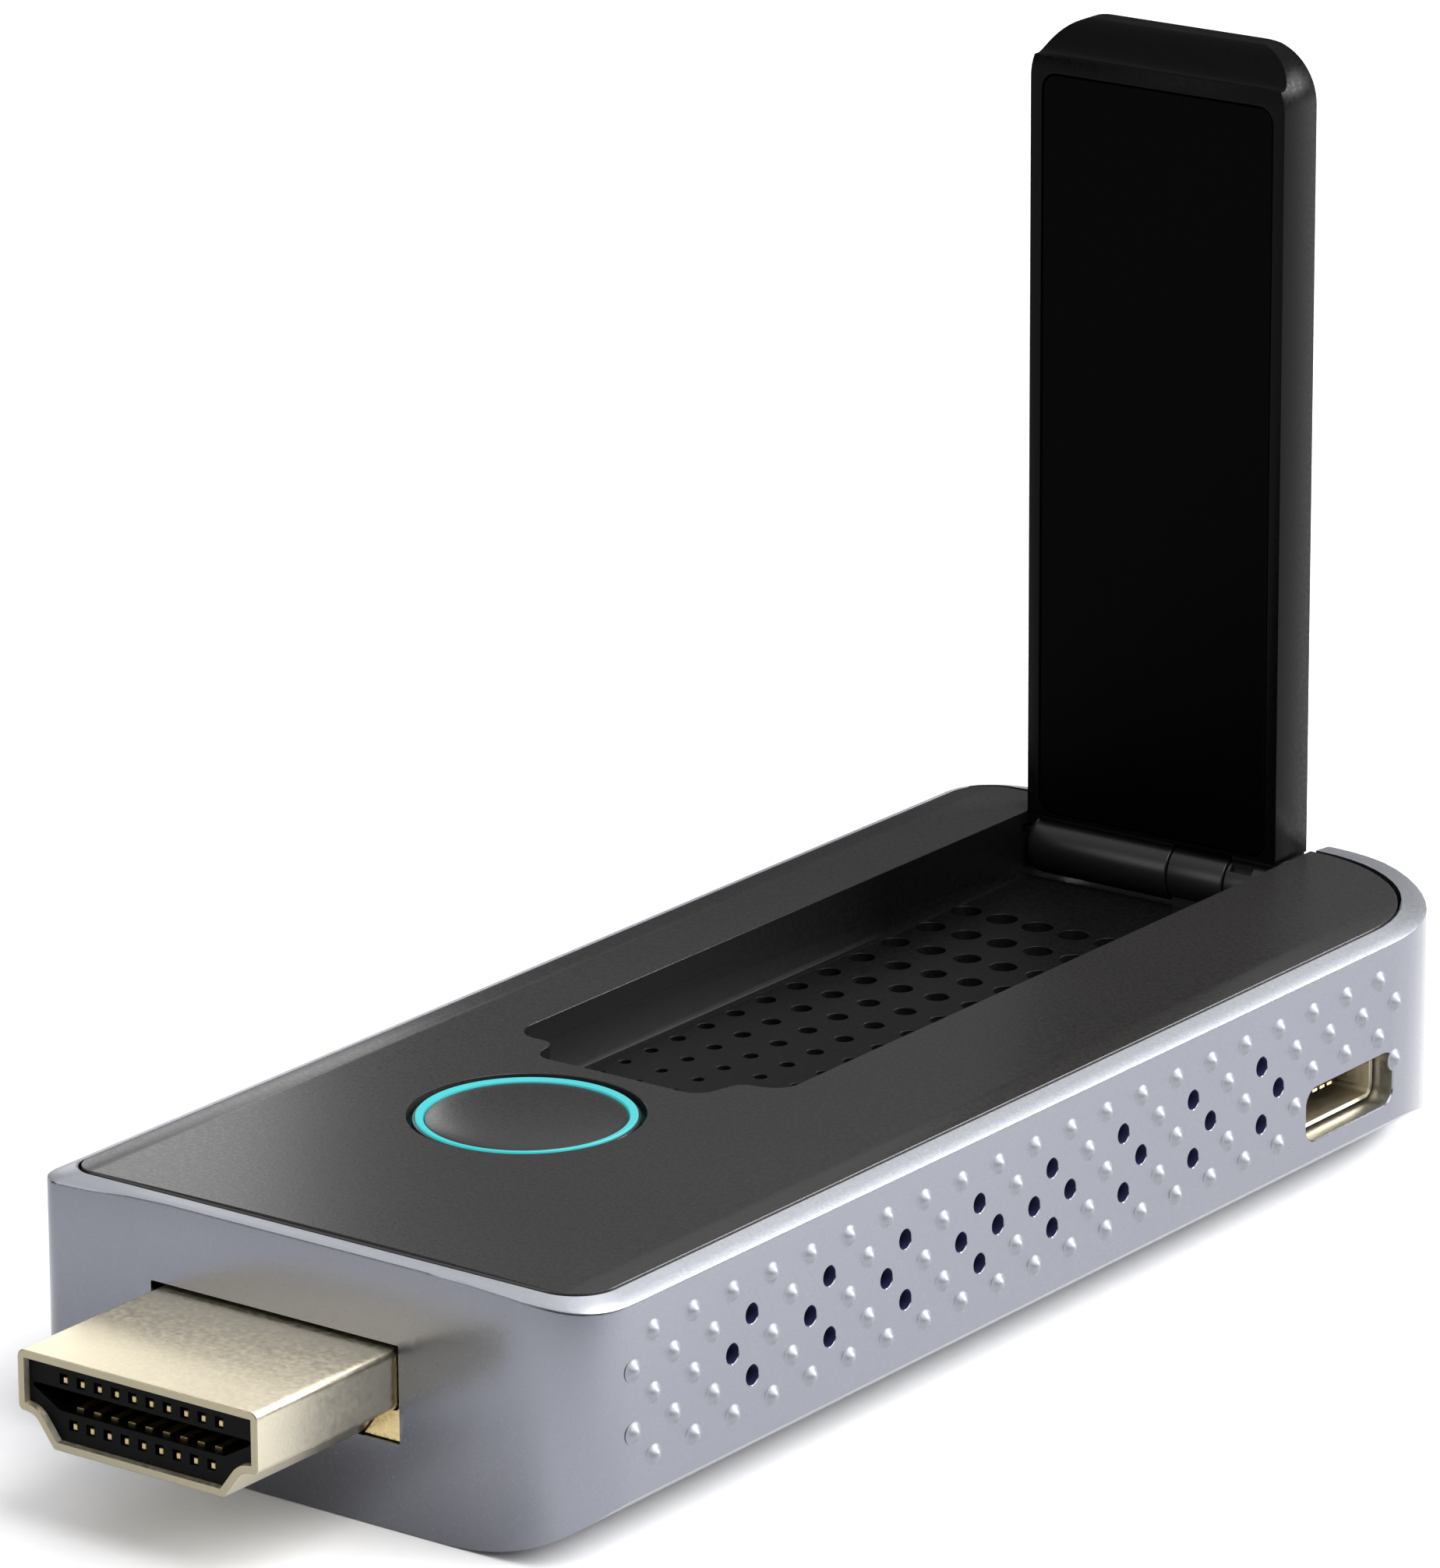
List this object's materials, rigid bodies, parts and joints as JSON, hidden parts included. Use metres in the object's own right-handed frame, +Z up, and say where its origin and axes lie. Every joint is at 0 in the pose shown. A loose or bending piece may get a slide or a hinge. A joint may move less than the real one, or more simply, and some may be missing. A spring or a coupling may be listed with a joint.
{
  "type": "streaming media player",
  "caption": "Wireless HDMI stick with a silver body, dark inlaid cover, lit push button, side vents, micro USB socket and an antenna blade that folds down into a bay.",
  "frame": {"origin": "on the flat underside, at the middle of the body's length and width", "axes": "+Z up, -Y the way the HDMI plug points, +X the side with the USB socket"},
  "size_m": [0.0322, 0.0847, 0.0547],
  "materials": {
    "silver_housing": "fine blasted satin, cool silver",
    "dark_cover": "satin dark grey",
    "black_bay": "satin black",
    "black_antenna": "satin black",
    "black_panel": "satin black",
    "champagne_plating": "fine grained champagne gold plating",
    "gold_plating": "thin gold plating",
    "black_insulator": "moulded black",
    "board_solder_mask": "dark blue solder mask",
    "chip_package": "moulded epoxy",
    "tinned_steel": "tinned sheet",
    "bare_aluminium": "bare",
    "thermal_pad": "soft grey silicone",
    "steel": "bare",
    "ferrite": "sintered",
    "light_guide": "lit cyan light guide",
    "led_body": "moulded",
    "coax_jacket": "black jacket",
    "blank_label": "blank satin label"
  },
  "bodies": {
    "base": {"antenna_bay": "black_bay", "board_screw_left": "steel", "board_screw_right": "steel", "button_board": "board_solder_mask", "button_guide": "black_bay", "coax_connector": "gold_plating", "coax_feed": "coax_jacket", "crystal": "tinned_steel", "dram": "chip_package", "flash": "chip_package", "hdmi_contact_01": "gold_plating", "hdmi_contact_02": "gold_plating", "hdmi_contact_03": "gold_plating", "hdmi_contact_04": "gold_plating", "hdmi_contact_05": "gold_plating", "hdmi_contact_06": "gold_plating", "hdmi_contact_07": "gold_plating", "hdmi_contact_08": "gold_plating", "hdmi_contact_09": "gold_plating", "hdmi_contact_10": "gold_plating", "hdmi_contact_11": "gold_plating", "hdmi_contact_12": "gold_plating", "hdmi_contact_13": "gold_plating", "hdmi_contact_14": "gold_plating", "hdmi_contact_15": "gold_plating", "hdmi_contact_16": "gold_plating", "hdmi_contact_17": "gold_plating", "hdmi_contact_18": "gold_plating", "hdmi_contact_19": "gold_plating", "hdmi_flange": "champagne_plating", "hdmi_insulator": "black_insulator", "hdmi_shell": "champagne_plating", "heat_spreader": "bare_aluminium", "hinge_base": "black_bay", "hinge_bush": "steel", "hinge_pin": "steel", "housing": "silver_housing", "inductor_a": "ferrite", "inductor_b": "ferrite", "led_1": "led_body", "led_2": "led_body", "led_3": "led_body", "main_pcb": "board_solder_mask", "power_regulator": "chip_package", "rating_label": "blank_label", "shield_can": "tinned_steel", "soc": "chip_package", "tact_switch": "tinned_steel", "thermal_pad": "thermal_pad", "top_cover": "dark_cover", "usb_shell": "gold_plating", "usb_tongue": "black_insulator", "wifi_module": "tinned_steel"},
    "button": {"button_cap": "dark_cover", "light_ring": "light_guide", "tact_plunger": "black_insulator"},
    "antenna": {"antenna_shell": "black_antenna", "antenna_panel": "black_panel", "antenna_board": "board_solder_mask", "coax_tail": "coax_jacket"}
  },
  "joints": [
    {"name": "button_press", "type": "slide", "parent": "base", "child": "button", "axis": [0, 0, -1], "range_m": [0, 0.0003], "stiffness_N_per_m": 3000},
    {"name": "antenna_fold", "type": "hinge", "parent": "base", "child": "antenna", "pos_m": [0, 0.0339, 0.0113], "axis": [1, 0, 0], "range_deg": [-60, 90]}
  ]
}
